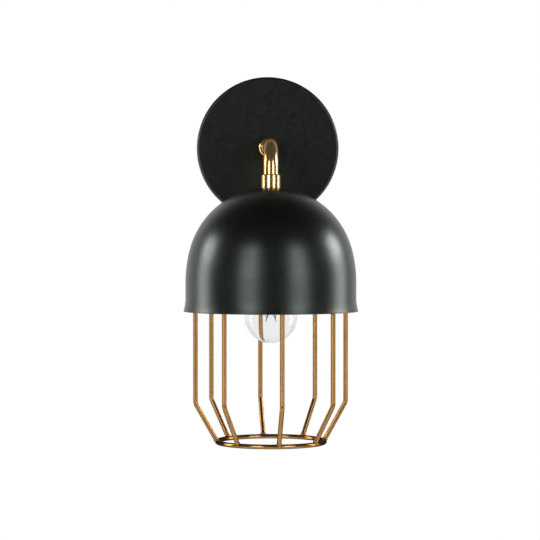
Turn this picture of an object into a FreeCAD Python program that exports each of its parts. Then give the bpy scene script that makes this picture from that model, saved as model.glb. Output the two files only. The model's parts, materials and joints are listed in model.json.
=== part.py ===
import FreeCAD, Part
import math
import os

from FreeCAD import Vector

# Cage wall light. Millimetres. The origin lies on the wall behind the middle of the
# backplate: +X is the viewer's right, +Y goes into the wall and +Z is up.

# Backplate and the bracket behind it
plate_diameter = 127.0
plate_depth = 22.0
plate_sheet = 1.2
plate_edge_radius = 2.0
bracket_sheet = 2.0
bracket_width = 26.0
bracket_bend = 1.5
ear_width = 14.0
ear_height = 14.0
ear_gap = 0.5
slot_spacing = 79.4
slot_length = 15.0
slot_width = 4.5
supply_hole_diameter = 14.0
set_screw_diameter = 4.0
set_screw_length = 5.6
set_screw_height = 9.0
set_screw_sink = 0.3
ground_screw_diameter = 4.0
ground_screw_place = 22.0
ground_head_height = 2.2
screw_end_gap = 0.2
driver_slot_width = 1.0
driver_slot_depth = 1.1

# Terminal block on the bracket
block_length = 16.0
block_height = 12.0
block_start = 12.5
terminal_pitch = 11.0
terminal_tower = 8.5
terminal_height = 6.0
barrel_diameter = 4.2
barrel_bore = 2.6
barrel_length = 12.0
block_floor = 3.0
block_rounding = 0.8
clamp_screw_diameter = 2.6
clamp_screw_spacing = 7.0
clamp_head_radius = 2.0
clamp_head_height = 1.8
clamp_well_radius = 2.2
block_head_height = 1.4

# Threaded tubes, nuts and washers
nipple_diameter = 9.7
nipple_bore = 7.0
nipple_past_nut = 2.5
nut_across_flats = 14.0
nut_thickness = 4.0
washer_diameter = 16.0
washer_sheet = 1.0
washer_notches = 12
washer_notch_depth = 1.92
washer_notch_width = 1.28
tag_sheet = 0.8
tag_eye_width = 2.4
crimp_wall = 0.4
crimp_length = 6.0
screw_clearance = 0.3

# Arm and its two collars
arm_reach = 82.0
tube_diameter = 12.7
tube_wall = 1.2
bend_radius = 22.0
drop_below_bend = 3.7
collar_wall = 1.75
collar_length = 12.0
collar_edge = 0.8
tube_grip = 6.0

# Shade: a spun dome with a flat seat, two arcs, a straight skirt and a flared rim
shade_radius = 73.1
shade_flare = 1.9
flare_height = 12.0
skirt_height = 25.0
side_arc_radius = 110.0
side_arc_angle = 15.0
crown_seat_radius = 12.0
crown_blend_radius = 20.0
shade_sheet = 1.2
rim_rounding = 0.4

# Cage
wire_diameter = 4.0
wire_count = 8
wire_turn = 6.4
cage_wall_gap = 4.9
cage_grip = 30.0
wire_past_ring = 6.0
cage_drop = 78.0
cage_depth = 111.5
wire_bend_radius = 8.0
bottom_ring_radius = 46.0
weld_sink = 0.15
spider_sheet = 1.6
spider_arm_width = 10.0
spider_bend_rise = 15.1127
spider_hub_radius = 11.0
spider_disc_radius = 13.0
spider_arm_count = 4

# Lampholder, on the shade's axis
tip_below_crown = 55.4
shell_radius = 13.25
shell_wall = 0.4
shell_depth = 28.0
core_radius = 15.5
core_thickness = 6.0
core_above_tip = 3.0
core_ridge_height = 3.0
core_ridge_length = 8.0
core_ridge_width = 1.6
holder_radius = 18.5
holder_neck_radius = 16.5
holder_neck_taper = 2.0
holder_step_gap = 1.0
holder_mouth_gap = 0.2
holder_lip = 1.5
holder_edge = 0.8
shell_floor_hole = 8.0
cap_wall = 1.5
cap_overlap = 12.0
cap_height = 22.0
cap_straight = 4.0
cap_boss_radius = 8.5
cap_boss_height = 4.0
nipple_in_cap = 8.0
post_place = 8.5
post_size = 5.0
post_sink = 1.5
post_screw_radius = 1.25
post_head_radius = 2.1
post_head_height = 1.5
post_slot_depth = 0.7
fine_slot_width = 0.6
contact_sheet = 0.5
contact_width = 5.0

# Bulb
globe_diameter = 45.0
bulb_length = 77.0
glass_wall = 0.7
neck_radius = 12.0
neck_blend = 8.0
base_radius = 12.95
base_height = 26.4
base_sheet = 0.3
base_curl = 2.5
base_curl_angle = 60.0
base_flare = 1.5
glass_in_base = 2.5
contact_radius = 4.6
contact_height = 2.0
contact_straight = 0.5
contact_gap = 0.3
insulator_height = 3.5
insulator_radius = 10.4
insulator_straight = 0.8
filament_lower_radius = 5.2
filament_upper_radius = 8.0
filament_lower_drop = 0.8
filament_rise = 12.4
filament_loops = 4
filament_diameter = 0.3
support_diameter = 0.4
support_foot = 3.2
support_foot_spread = 0.8
support_past_coil = 0.5
support_lift = 0.6
pinch_above_filament = 4.5
button_above_filament = 3.7
button_height = 2.6
button_radius = 1.5
stem_radius = 0.9
lead_in_shift = 0.7

# Leads
lead_diameter = 2.0
conductor_diameter = 1.0
lead_offset = 1.3
lead_in_block = 1.5
lead_from_block = 5.0
lead_past_nipple = 1.0
lead_over_post = 4.5
strip_over_post = 0.5
block_bend_radius = 3.0
holder_bend_radius = 2.4
conductor_bare = 6.0
earth_bend_radius = 5.6
earth_in_crimp = 0.5
earth_loop_side = 9.0
earth_loop_drop = 16.0

# Levels and radii that follow from the sizes above
plate_radius = plate_diameter / 2
canopy_inner_radius = plate_radius - plate_sheet
wire_radius = wire_diameter / 2
tube_radius = tube_diameter / 2
nipple_radius = nipple_diameter / 2
nipple_hole_radius = nipple_radius + screw_clearance
collar_radius = tube_radius + collar_wall
crimp_radius = lead_diameter / 2 + crimp_wall
axis_y = -(plate_depth + arm_reach)
crown_z = -bend_radius - drop_below_bend - collar_length
seat_z = crown_z - shade_sheet
cage_radius = shade_radius - shade_sheet - cage_wall_gap - wire_radius
top_ring_radius = cage_radius - wire_diameter + weld_sink
tip_z = crown_z - tip_below_crown
core_bottom_z = tip_z + core_above_tip
core_top_z = core_bottom_z + core_thickness
cap_top_z = core_top_z + cap_height
nipple_end_z = cap_top_z - nipple_in_cap
holder_bottom_z = core_bottom_z - shell_depth - holder_lip
base_bottom_z = tip_z - base_height
globe_z = tip_z - bulb_length + globe_diameter / 2
ear_face = math.sqrt(canopy_inner_radius**2 - (ear_width / 2) ** 2) - ear_gap
block_middle = block_start + block_length / 2
block_channel = terminal_pitch / 2 - terminal_tower / 2
terminal_z = bracket_sheet + terminal_height
post_screw_z = core_top_z + post_size / 2


def dome_centres():
    """Radius of the crown arc and the heights above the rim that fix the dome's outline."""
    side_x = shade_radius - side_arc_radius
    angle = math.radians(side_arc_angle)
    crown_radius = side_arc_radius + side_x / math.cos(angle)
    crown_height = skirt_height - side_x * math.tan(angle)
    blend_x = crown_seat_radius
    blend_rise = math.sqrt((crown_radius - crown_blend_radius) ** 2 - blend_x**2)
    blend_height = crown_height + blend_rise
    return side_x, crown_radius, crown_height, blend_height


shade_height = dome_centres()[3] + crown_blend_radius
rim_z = crown_z - shade_height


# Helpers: outlines are drawn as (radius, height) pairs in the XZ plane

def line(start, end):
    return Part.LineSegment(Vector(start[0], 0, start[1]), Vector(end[0], 0, end[1])).toShape()


def on_circle(centre, radius, degrees):
    angle = math.radians(degrees)
    return (centre[0] + radius * math.cos(angle), centre[1] + radius * math.sin(angle))


def arc(centre, radius, start, end):
    points = [on_circle(centre, radius, a) for a in (start, (start + end) / 2, end)]
    return Part.Arc(*[Vector(x, 0, z) for x, z in points]).toShape()


def chain(*parts):
    """Closed outline through edges and (radius, height) points, in order, joined by lines."""
    edges = []
    ends = []
    for part in parts:
        if isinstance(part, tuple):
            ends.append((part, part))
        else:
            first = part.Vertexes[0].Point
            last = part.Vertexes[-1].Point
            ends.append(((first.x, first.z), (last.x, last.z)))
    for index, part in enumerate(parts):
        if not isinstance(part, tuple):
            edges.append(part)
        here = ends[index][1]
        following = ends[(index + 1) % len(parts)][0]
        if math.dist(here, following) > 1e-6:
            edges.append(line(here, following))
    return Part.Face(Part.Wire(edges))


def turned(*parts):
    return chain(*parts).revolve(Vector(0, 0, 0), Vector(0, 0, 1), 360)


def tube(outer, inner, low, high):
    return turned((inner, low), (outer, low), (outer, high), (inner, high))


def rod(radius, start, end):
    path = Vector(*end) - Vector(*start)
    return Part.makeCylinder(radius, path.Length, Vector(*start), path)


def box(low, high):
    size = [b - a for a, b in zip(low, high)]
    return Part.makeBox(*size, Vector(*low))


def hexagon(across_flats, low, high):
    corner = across_flats / math.sqrt(3)
    points = [Vector(*on_circle((0, 0), corner, 60 * n), low) for n in range(7)]
    face = Part.Face(Part.makePolygon(points))
    return face.extrude(Vector(0, 0, high - low))


def moved(shape, x=0.0, y=0.0, z=0.0):
    shape = shape.copy()
    shape.translate(Vector(x, y, z))
    return shape


def spun(shape, degrees):
    shape = shape.copy()
    shape.rotate(Vector(0, 0, 0), Vector(0, 0, 1), degrees)
    return shape


def off_wall(shape):
    """Stand a piece drawn flat (x right, y up, z out of the wall) against the wall."""
    shape = shape.copy()
    shape.rotate(Vector(0, 0, 0), Vector(1, 0, 0), 90)
    return shape


def under_arm(shape):
    return moved(shape, y=axis_y)


def joined(shapes):
    return shapes[0].multiFuse(shapes[1:]).removeSplitter()


def route(points, radius):
    """Straight runs through the points, with tangent arcs of one radius at the corners."""
    points = [Vector(*p) for p in points]
    edges = []
    start = points[0]
    for before, corner, after in zip(points, points[1:], points[2:]):
        inward = (before - corner).normalize()
        outward = (after - corner).normalize()
        half = inward.getAngle(outward) / 2
        setback = radius / math.tan(half)
        middle = (inward + outward).normalize()
        centre = corner + middle * (radius / math.sin(half))
        enter = corner + inward * setback
        leave = corner + outward * setback
        edges.append(Part.LineSegment(start, enter).toShape())
        edges.append(Part.Arc(enter, centre - middle * radius, leave).toShape())
        start = leave
    edges.append(Part.LineSegment(start, points[-1]).toShape())
    return Part.Wire(edges)


def along(path, radius):
    start = path.Vertexes[0].Point
    first = path.Edges[0]
    heading = first.tangentAt(first.FirstParameter)
    section = Part.Wire(Part.makeCircle(radius, start, heading))
    return path.makePipeShell([section], True, True)


# Wall bracket and its hardware, drawn flat

def slot(x):
    half = (slot_length - slot_width) / 2
    low, high = -bracket_sheet, 2 * bracket_sheet
    ends = [rod(slot_width / 2, (x + side * half, 0, low), (x + side * half, 0, high))
            for side in (-1, 1)]
    middle = box((x - half, -slot_width / 2, low), (x + half, slot_width / 2, high))
    return joined([middle] + ends)


def mounting_bracket():
    t, bend = bracket_sheet, bracket_bend
    corner = (ear_face - t - bend, t + bend)
    left = (-corner[0], corner[1])
    channel = chain(
        arc(corner, t + bend, -90, 0), (ear_face, ear_height), (ear_face - t, ear_height),
        arc(corner, bend, 0, -90), arc(left, bend, -90, -180),
        (-ear_face + t, ear_height), (-ear_face, ear_height), arc(left, t + bend, 180, 270))
    channel = channel.extrude(Vector(0, ear_width, 0))
    channel = moved(channel, y=-ear_width / 2)
    tops = [e for e in channel.Edges
            if e.Length < 1.01 * t and abs(e.CenterOfMass.z - ear_height) < 0.01]
    channel = channel.makeFillet(ear_width / 4, tops)
    wide = slot_spacing / 2 + slot_length / 2 + t
    half, narrow = bracket_width / 2, ear_width / 2
    taper = half - narrow
    outline = [(-wide - taper, -narrow), (-wide, -half), (wide, -half), (wide + taper, -narrow),
               (wide + taper, narrow), (wide, half), (-wide, half), (-wide - taper, narrow)]
    outline.append(outline[0])
    strip = Part.Face(Part.makePolygon([Vector(x, y, 0) for x, y in outline]))
    bracket = joined([channel, strip.extrude(Vector(0, 0, t))])
    reach = ear_face + t
    holes = [slot(side * slot_spacing / 2) for side in (-1, 1)]
    holes.append(rod(supply_hole_diameter / 2, (0, 0, -t), (0, 0, 2 * t)))
    holes.append(rod(ground_screw_diameter / 2, (-ground_screw_place, 0, -t),
                     (-ground_screw_place, 0, 2 * t)))
    holes.append(rod(clamp_screw_diameter / 2, (block_middle, 0, -t), (block_middle, 0, 2 * t)))
    holes.append(rod(set_screw_diameter / 2, (-reach, 0, set_screw_height),
                     (reach, 0, set_screw_height)))
    return off_wall(bracket.cut(holes))


def canopy_set_screws():
    end = plate_radius - set_screw_sink
    radius = set_screw_diameter / 2
    screw = rod(radius, (0, 0, end - set_screw_length), (0, 0, end))
    screw = screw.cut(hexagon(radius, end - radius, end + 1))
    pair = []
    for side in (-90, 90):
        one = screw.copy()
        one.rotate(Vector(0, 0, 0), Vector(0, 1, 0), side)
        pair.append(moved(one, z=set_screw_height))
    return off_wall(Part.makeCompound(pair))


def ground_screw():
    t, radius = bracket_sheet, ground_screw_diameter / 2
    under_head = t + tag_sheet
    top = under_head + ground_head_height
    shoulder = under_head + 0.64 * ground_head_height
    screw = turned((0, screw_end_gap), (radius, screw_end_gap), (radius, under_head),
                   (2 * radius, under_head), (2 * radius, shoulder), (1.6 * radius, top),
                   (0, top))
    half = driver_slot_width / 2
    cut = box((-2 * radius, -half, top - driver_slot_depth), (2 * radius, half, top + 1))
    return off_wall(moved(screw.cut(cut), x=-ground_screw_place))


def terminal_rows():
    return [side * terminal_pitch / 2 for side in (-1, 1)]


def clamp_places():
    return [(block_middle + side * clamp_screw_spacing / 2, row)
            for row in terminal_rows() for side in (-1, 1)]


def terminal_block():
    t = bracket_sheet
    half_width = terminal_pitch / 2 + terminal_tower / 2
    block = box((block_start, -half_width, t),
                (block_start + block_length, half_width, t + block_height))
    upper = [e for e in block.Edges if e.CenterOfMass.z > t + block_rounding]
    block = block.makeFillet(block_rounding, upper)
    middle = box((block_start - 1, -block_channel, t + block_floor),
                 (block_start + block_length + 1, block_channel, t + block_height + 1))
    cuts = [middle]
    cuts.append(rod(clamp_screw_diameter / 2, (block_middle, 0, 0),
                    (block_middle, 0, t + block_floor + 1)))
    for row in terminal_rows():
        cuts.append(rod(barrel_diameter / 2, (block_start - 1, row, terminal_z),
                        (block_start + block_length + 1, row, terminal_z)))
    for x, row in clamp_places():
        cuts.append(rod(clamp_well_radius, (x, row, terminal_z), (x, row, t + block_height + 1)))
    return off_wall(block.cut(cuts))


def terminal_barrels():
    barrels = []
    for row in terminal_rows():
        ends = [(block_middle + side * barrel_length / 2, row, terminal_z) for side in (-1, 1)]
        barrel = rod(barrel_diameter / 2, *ends).cut(rod(barrel_bore / 2, *ends))
        for x, place in clamp_places():
            barrel = barrel.cut(rod(clamp_screw_diameter / 2, (x, place, terminal_z),
                                    (x, place, terminal_z + barrel_diameter)))
        barrels.append(barrel)
    return off_wall(Part.makeCompound(barrels))


def terminal_screws():
    radius = clamp_screw_diameter / 2
    low = terminal_z + conductor_diameter / 2
    head = terminal_z + barrel_diameter / 2 + 0.6
    top = head + clamp_head_height
    reach, half = clamp_head_radius + 1, fine_slot_width / 2
    screws = []
    for x, row in clamp_places():
        screw = joined([rod(radius, (x, row, low), (x, row, head)),
                        rod(clamp_head_radius, (x, row, head), (x, row, top))])
        cut = box((x - reach, row - half, top - 0.8), (x + reach, row + half, top + 1))
        screws.append(screw.cut(cut))
    return off_wall(Part.makeCompound(screws))


def block_screw():
    radius = clamp_screw_diameter / 2
    seat = bracket_sheet + block_floor
    top = seat + block_head_height
    half = block_channel - 0.1
    stem = rod(radius, (0, 0, screw_end_gap), (0, 0, seat))
    head = box((-2 * radius, -half, seat), (2 * radius, half, top))
    head = head.common(rod(2 * radius, (0, 0, seat), (0, 0, top)))
    return off_wall(moved(joined([stem, head]), x=block_middle))


# Backplate and the threaded tube through its middle, drawn flat

def canopy():
    edge, wall = plate_edge_radius, plate_sheet
    corner = (plate_radius - edge, plate_depth - edge)
    pan = turned(
        (canopy_inner_radius, 0), (plate_radius, 0), arc(corner, edge, 0, 90),
        (nipple_hole_radius, plate_depth), (nipple_hole_radius, plate_depth - wall),
        arc(corner, edge - wall, 90, 0))
    reach = plate_radius + 1
    side_holes = rod(set_screw_diameter / 2 + screw_clearance,
                     (-reach, 0, set_screw_height), (reach, 0, set_screw_height))
    return off_wall(pan.cut(side_holes))


def stack_heights():
    """Heights off the wall of the tag, washer and nut inside the backplate."""
    tag = plate_depth - plate_sheet - tag_sheet
    washer = tag - washer_sheet
    nut = washer - nut_thickness
    return tag, washer, nut, nut - nipple_past_nut


def lock_washer(low):
    """Washer with a toothed edge, lying on its lower face."""
    reach = washer_diameter / 2
    washer = tube(reach, nipple_hole_radius, low, low + washer_sheet)
    half = washer_notch_width / 2
    notch = box((reach - washer_notch_depth, -half, low - 1),
                (reach + 1, half, low + washer_sheet + 1))
    return washer.cut([spun(notch, 360 * n / washer_notches) for n in range(washer_notches)])


def hex_nut(low):
    high = low + nut_thickness
    corner = nut_across_flats / math.sqrt(3)
    edge = corner - nut_across_flats / 2
    cone = turned((nipple_radius, low), (corner - edge, low), (corner, low + edge / 2),
                  (corner, high - edge / 2), (corner - edge, high), (nipple_radius, high))
    return cone.common(hexagon(nut_across_flats, low, high))


def plate_lock_washer():
    return off_wall(lock_washer(stack_heights()[1]))


def plate_nut():
    return off_wall(hex_nut(stack_heights()[2]))


def plate_nipple():
    return off_wall(tube(nipple_radius, nipple_bore / 2, stack_heights()[3],
                         plate_depth + collar_length - tube_grip))


def tag(hole_radius, crimp_start):
    """Ring terminal: a flat eye, a neck and the crimped barrel that holds the lead."""
    end = crimp_start + crimp_length
    eye = tube(hole_radius + tag_eye_width, hole_radius, 0, tag_sheet)
    neck = box((hole_radius + 1, -crimp_radius, 0), (crimp_start + 1, crimp_radius, tag_sheet))
    sleeve = rod(crimp_radius, (crimp_start, 0, crimp_radius), (end, 0, crimp_radius))
    bore = rod(lead_diameter / 2, (crimp_start - 1, 0, crimp_radius), (end + 1, 0, crimp_radius))
    return joined([eye, neck, sleeve]).cut([bore])


def crimp_starts():
    """Where the crimped barrel starts, from the middle of the large and of the small eye."""
    return (nipple_hole_radius + tag_eye_width + 1.0,
            ground_screw_diameter / 2 + tag_eye_width + 1.6)


def earth_tags():
    at_nipple, at_screw = crimp_starts()
    big = tag(nipple_hole_radius, at_nipple)
    big.rotate(Vector(0, 0, 0), Vector(1, 0, 0), 180)
    big = moved(spun(big, 180), z=plate_depth - plate_sheet)
    small = spun(tag(ground_screw_diameter / 2, at_screw), -90)
    small = moved(small, x=-ground_screw_place, z=bracket_sheet)
    return off_wall(Part.makeCompound([big, small]))


def earth_lead():
    at_nipple, at_screw = crimp_starts()
    high = plate_depth - plate_sheet - crimp_radius
    low = bracket_sheet + crimp_radius
    far = -ground_screw_place - earth_loop_side
    deep = -at_screw - earth_loop_drop
    points = [(-at_nipple - earth_in_crimp, 0, high), (far, 0, high),
              (far, deep, (high + low) / 2), (-ground_screw_place, deep, low),
              (-ground_screw_place, -at_screw - earth_in_crimp, low)]
    return off_wall(along(route(points, earth_bend_radius), lead_diameter / 2))


# Arm and collars

def collar():
    edge, base = collar_edge, collar_edge / 2
    step = collar_length - tube_grip
    return turned(
        (nipple_radius, 0), (collar_radius - base, 0), (collar_radius, base),
        (collar_radius, collar_length - edge), (collar_radius - edge, collar_length),
        (tube_radius, collar_length), (tube_radius, step), (nipple_radius, step))


def plate_collar():
    return off_wall(moved(collar(), z=plate_depth))


def shade_collar():
    return under_arm(moved(collar(), z=crown_z))


def arm_tube():
    start = -(plate_depth + collar_length - tube_grip)
    end = crown_z + collar_length - tube_grip
    path = route([(0, start, 0), (0, axis_y, 0), (0, axis_y, end)], bend_radius)
    return along(path, tube_radius).cut(along(path, tube_radius - tube_wall))


def shade_nipple():
    top = crown_z + collar_length - tube_grip
    return under_arm(tube(nipple_radius, nipple_bore / 2, nipple_end_z, top))


# Shade

def shade():
    side_x, crown_radius, crown_height, blend_height = dome_centres()
    wall = shade_sheet
    side = (side_x, skirt_height)
    crown = (0, crown_height)
    blend = (crown_seat_radius, blend_height)
    meet = math.degrees(math.atan2(blend_height - crown_height, crown_seat_radius))
    flare_radius = (flare_height**2 + shade_flare**2) / (2 * shade_flare)
    flare = (shade_radius + flare_radius, flare_height)
    outer_end = 180 + math.degrees(math.asin(flare_height / flare_radius))
    inner_end = 180 + math.degrees(math.asin(flare_height / (flare_radius + wall)))
    angle = side_arc_angle
    dome = turned(
        arc(flare, flare_radius, outer_end, 180),
        arc(side, side_arc_radius, 0, angle),
        arc(crown, crown_radius, angle, meet),
        arc(blend, crown_blend_radius, meet, 90),
        (nipple_hole_radius, shade_height), (nipple_hole_radius, shade_height - wall),
        arc(blend, crown_blend_radius - wall, 90, meet),
        arc(crown, crown_radius - wall, meet, angle),
        arc(side, side_arc_radius - wall, angle, 0),
        arc(flare, flare_radius + wall, 180, inner_end))
    rim = [e for e in dome.Edges if abs(e.CenterOfMass.z) < 0.01 and e.BoundBox.ZLength < 0.01]
    dome = dome.makeFillet(min(rim_rounding, 0.4 * wall), rim)
    return under_arm(moved(dome, z=rim_z))


def shade_lock_washer():
    low = seat_z - spider_sheet - washer_sheet
    return under_arm(lock_washer(low))


def shade_nut():
    low = seat_z - spider_sheet - washer_sheet - nut_thickness
    return under_arm(hex_nut(low))


# Cage

def wire_angles():
    step = 360 / wire_count
    return [wire_turn - 90 + step * n for n in range(wire_count)]


def top_ring():
    ring = Part.makeTorus(top_ring_radius, wire_radius)
    return moved(ring, z=rim_z + cage_grip)


def bottom_ring():
    ring = Part.makeTorus(bottom_ring_radius, wire_radius)
    return moved(ring, z=rim_z - cage_depth)


def cage_wire(angle):
    points = [(cage_radius, 0, rim_z + cage_grip + wire_past_ring),
              (cage_radius, 0, rim_z - cage_drop),
              (bottom_ring_radius, 0, rim_z - cage_depth)]
    wire = along(route(points, wire_bend_radius), wire_radius)
    wire = wire.cut([bottom_ring(), top_ring()])
    wire = max(wire.Solids, key=lambda solid: solid.Volume)
    return under_arm(spun(wire, angle))


def cage_spider():
    """Sheet arms that run up from the top ring and bend in close under the dome to a disc."""
    half = spider_sheet / 2
    mid_radius = top_ring_radius - wire_radius - half + weld_sink
    hub_height = seat_z - half
    ring_height = rim_z + cage_grip
    straight_top = rim_z + dome_centres()[2] + spider_bend_rise
    across = mid_radius - spider_hub_radius
    rise = hub_height - straight_top
    radius = (across**2 + rise**2) / (2 * across)
    centre = (mid_radius - radius, straight_top)
    start = math.degrees(math.atan2(rise, spider_hub_radius - centre[0]))
    low = ring_height - wire_radius
    umbrella = turned(
        (mid_radius - half, low), (mid_radius + half, low),
        arc(centre, radius + half, 0, start), (nipple_hole_radius, hub_height + half),
        (nipple_hole_radius, hub_height - half), arc(centre, radius - half, start, 0))
    hub = rod(spider_disc_radius, (0, 0, low), (0, 0, crown_z))
    arms = [hub]
    width = spider_arm_width / 2
    for n in range(spider_arm_count):
        arm = box((0, -width, low - 1), (shade_radius, width, crown_z))
        turn = wire_angles()[1] + 360 * n / spider_arm_count
        arms.append(spun(arm, turn))
    keep = joined(arms)
    return under_arm(umbrella.common(keep).cut(top_ring()))


# Lampholder

def lampholder_cap():
    skirt = holder_radius + cap_wall
    shoulder = core_top_z + cap_straight
    boss = cap_top_z - cap_boss_height
    low = core_top_z - cap_overlap
    reach = skirt - cap_boss_radius
    drop = boss - shoulder
    radius = (reach**2 + drop**2) / (2 * reach)
    centre = (skirt - radius, shoulder)
    top = math.degrees(math.atan2(drop, cap_boss_radius - centre[0]))
    roof = on_circle(centre, radius - cap_wall, top)
    return under_arm(turned(
        (holder_radius, low), (skirt, low), arc(centre, radius, 0, top),
        (cap_boss_radius, cap_top_z - holder_edge), (cap_boss_radius - holder_edge, cap_top_z),
        (nipple_radius, cap_top_z), (nipple_radius, roof[1]),
        arc(centre, radius - cap_wall, top, 0), (holder_radius, core_top_z)))


def lampholder_body():
    shell = shell_radius + shell_wall
    neck = holder_neck_radius
    step = core_top_z - cap_overlap - holder_step_gap
    mouth = shell_radius + holder_mouth_gap
    return under_arm(turned(
        (mouth, holder_bottom_z), (neck - holder_edge, holder_bottom_z),
        (neck, holder_bottom_z + holder_edge), (neck, step - holder_neck_taper),
        (holder_radius, step),
        (holder_radius, core_top_z), (core_radius, core_top_z), (core_radius, core_bottom_z),
        (shell, core_bottom_z), (shell, holder_bottom_z + holder_lip),
        (mouth, holder_bottom_z + holder_lip)))


def post_rows():
    return [side * post_place for side in (-1, 1)]


def lampholder_core():
    core = rod(core_radius, (0, 0, core_bottom_z), (0, 0, core_top_z))
    half = post_size / 2
    seat = core_top_z - post_sink
    for y in post_rows():
        core = core.cut(box((-half, y - half, seat), (half, y + half, core_top_z + 1)))
    ridge = box((-core_ridge_length / 2, -core_ridge_width / 2, core_top_z),
                (core_ridge_length / 2, core_ridge_width / 2, core_top_z + core_ridge_height))
    return under_arm(joined([core, ridge]))


def lampholder_posts():
    half = post_size / 2
    seat = core_top_z - post_sink
    top = core_top_z + post_size
    posts = []
    for y in post_rows():
        post = box((-half, y - half, seat), (half, y + half, top))
        post = post.cut(rod(conductor_diameter / 2, (0, y, seat + 1), (0, y, top + 1)))
        cross = rod(post_screw_radius, (0, y, post_screw_z), (half + 1, y, post_screw_z))
        posts.append(post.cut(cross))
    return under_arm(Part.makeCompound(posts))


def lampholder_screws():
    half = post_size / 2
    top = half + post_head_height
    reach = post_head_radius + 1
    level = post_screw_z
    screws = []
    for y in post_rows():
        stem = rod(post_screw_radius, (conductor_diameter / 2, y, level), (half, y, level))
        head = rod(post_head_radius, (half, y, level), (top, y, level))
        cut = box((top - post_slot_depth, y - reach, level - fine_slot_width / 2),
                  (top + 1, y + reach, level + fine_slot_width / 2))
        screws.append(joined([stem, head]).cut(cut))
    return under_arm(Part.makeCompound(screws))


def screw_shell():
    outer = shell_radius + shell_wall
    bottom = core_bottom_z - shell_depth
    return under_arm(turned(
        (shell_floor_hole, core_bottom_z), (outer, core_bottom_z), (outer, bottom),
        (shell_radius, bottom), (shell_radius, core_bottom_z - shell_wall),
        (shell_floor_hole, core_bottom_z - shell_wall)))


def centre_contact():
    """Bent strip under the core, just clear of the tip of a bulb that is home."""
    sheet = contact_sheet
    press = tip_z + contact_gap
    strip = chain(
        (-6.0, core_bottom_z), (-2.6, core_bottom_z), (-0.8, press + sheet),
        (1.2, press + sheet), (3.9, press + 2.4 * sheet), (1.4, press), (-1.0, press),
        (-2.8, core_bottom_z - sheet), (-6.0, core_bottom_z - sheet))
    strip = strip.extrude(Vector(0, contact_width, 0))
    return under_arm(moved(strip, y=-contact_width / 2))


# Leads from the terminal block, through the arm, to the lampholder

def lead(side):
    """Insulated lead with both ends bare; side is +1 for the live lead, -1 for the neutral."""
    offset = side * lead_offset
    row = side * terminal_pitch / 2
    post = axis_y - side * post_place
    face = block_start + lead_in_block
    post_top = core_top_z + post_size
    strip_z = post_top + strip_over_post
    inside = stack_heights()[3] - lead_past_nipple
    arm = [(0, -inside, offset), (0, axis_y - offset, offset)]
    to_holder = [(0, axis_y - offset, nipple_end_z - lead_past_nipple),
                 (0, post, strip_z + lead_over_post), (0, post, strip_z)]
    to_block = [(face, -terminal_z, row), (block_start - lead_from_block, -terminal_z, row),
                (0, -terminal_z, offset)]
    first = route(to_block + arm[:1], block_bend_radius)
    second = route(arm + to_holder[:1], bend_radius + offset)
    third = route(to_holder, holder_bend_radius)
    path = Part.Wire(first.Edges + second.Edges + third.Edges)
    sleeve = along(path, lead_diameter / 2)
    bare = conductor_diameter / 2
    barrel_end = rod(bare, (face, -terminal_z, row), (face + conductor_bare, -terminal_z, row))
    post_end = rod(bare, (0, post, strip_z), (0, post, post_top - conductor_bare / 2))
    return joined([sleeve, barrel_end, post_end])


# Bulb, on the shade's axis

def bulb_glass():
    outer = globe_diameter / 2
    rise = math.sqrt((outer + neck_blend) ** 2 - (neck_radius + neck_blend) ** 2)
    globe = (0, globe_z)
    blend = (neck_radius + neck_blend, globe_z + rise)
    meet = math.degrees(math.atan2(rise, neck_radius + neck_blend))
    top = base_bottom_z + glass_in_base
    wall = glass_wall
    return under_arm(turned(
        arc(globe, outer, -90, meet), arc(blend, neck_blend, 180 + meet, 180),
        (neck_radius, top), (neck_radius - wall, top),
        arc(blend, neck_blend + wall, 180, 180 + meet), arc(globe, outer - wall, meet, -90)))


def bulb_base_shell():
    """Base shell without its thread: a straight cup whose top edge turns in over the insulator."""
    top = tip_z - contact_height - insulator_height
    inner = base_radius - base_sheet
    curl = (base_radius - base_curl, top - base_curl)
    return under_arm(turned(
        (neck_radius, base_bottom_z), (neck_radius + 2 * base_sheet, base_bottom_z),
        (base_radius, base_bottom_z + base_flare), arc(curl, base_curl, 0, base_curl_angle),
        (insulator_radius, top), (insulator_radius, top - base_sheet),
        arc(curl, base_curl - base_sheet, base_curl_angle, 0),
        (inner, base_bottom_z + glass_in_base), (neck_radius, base_bottom_z + glass_in_base)))


def bulb_base_insulator():
    low = tip_z - contact_height - insulator_height
    high = tip_z - contact_height
    return under_arm(turned(
        (0, low), (insulator_radius, low), (insulator_radius - 0.3, low + insulator_straight),
        (contact_radius + 0.4, high), (0, high)))


def bulb_contact_tip():
    low = tip_z - contact_height
    rise = contact_height - contact_straight
    radius = (contact_radius**2 + rise**2) / (2 * rise)
    edge = math.degrees(math.asin((radius - rise) / radius))
    return under_arm(turned(
        (0, low), (contact_radius, low), arc((0, tip_z - radius), radius, edge, 90)))


def stem_levels():
    """Levels of the glass stem: its flare, its pinch and the button at its free end."""
    lower = globe_z - filament_lower_drop
    pinch = lower + filament_rise + pinch_above_filament
    return base_bottom_z + glass_in_base, pinch, lower + button_above_filament


def bulb_stem():
    flare, pinch, button = stem_levels()
    inner = neck_radius - glass_wall
    return under_arm(turned(
        (0, button), (button_radius, button + 0.6), (button_radius, button + 1.8),
        (stem_radius, button + button_height), (stem_radius, pinch - 2), (2.2, pinch - 1),
        (2.6, pinch + 2), (3.2, flare - 4),
        (inner, flare - 1.0), (inner, flare), (0, flare)))


def filament_points():
    """Zigzag round the stem: outer points above, inner points below."""
    lower = globe_z - filament_lower_drop
    step = 180 / filament_loops
    points = []
    for n in range(2 * filament_loops - 1):
        radius = filament_lower_radius if n % 2 == 0 else filament_upper_radius
        level = lower if n % 2 == 0 else lower + filament_rise
        points.append((*on_circle((0, 0), radius, 45 + step * n), level))
    return points


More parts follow.
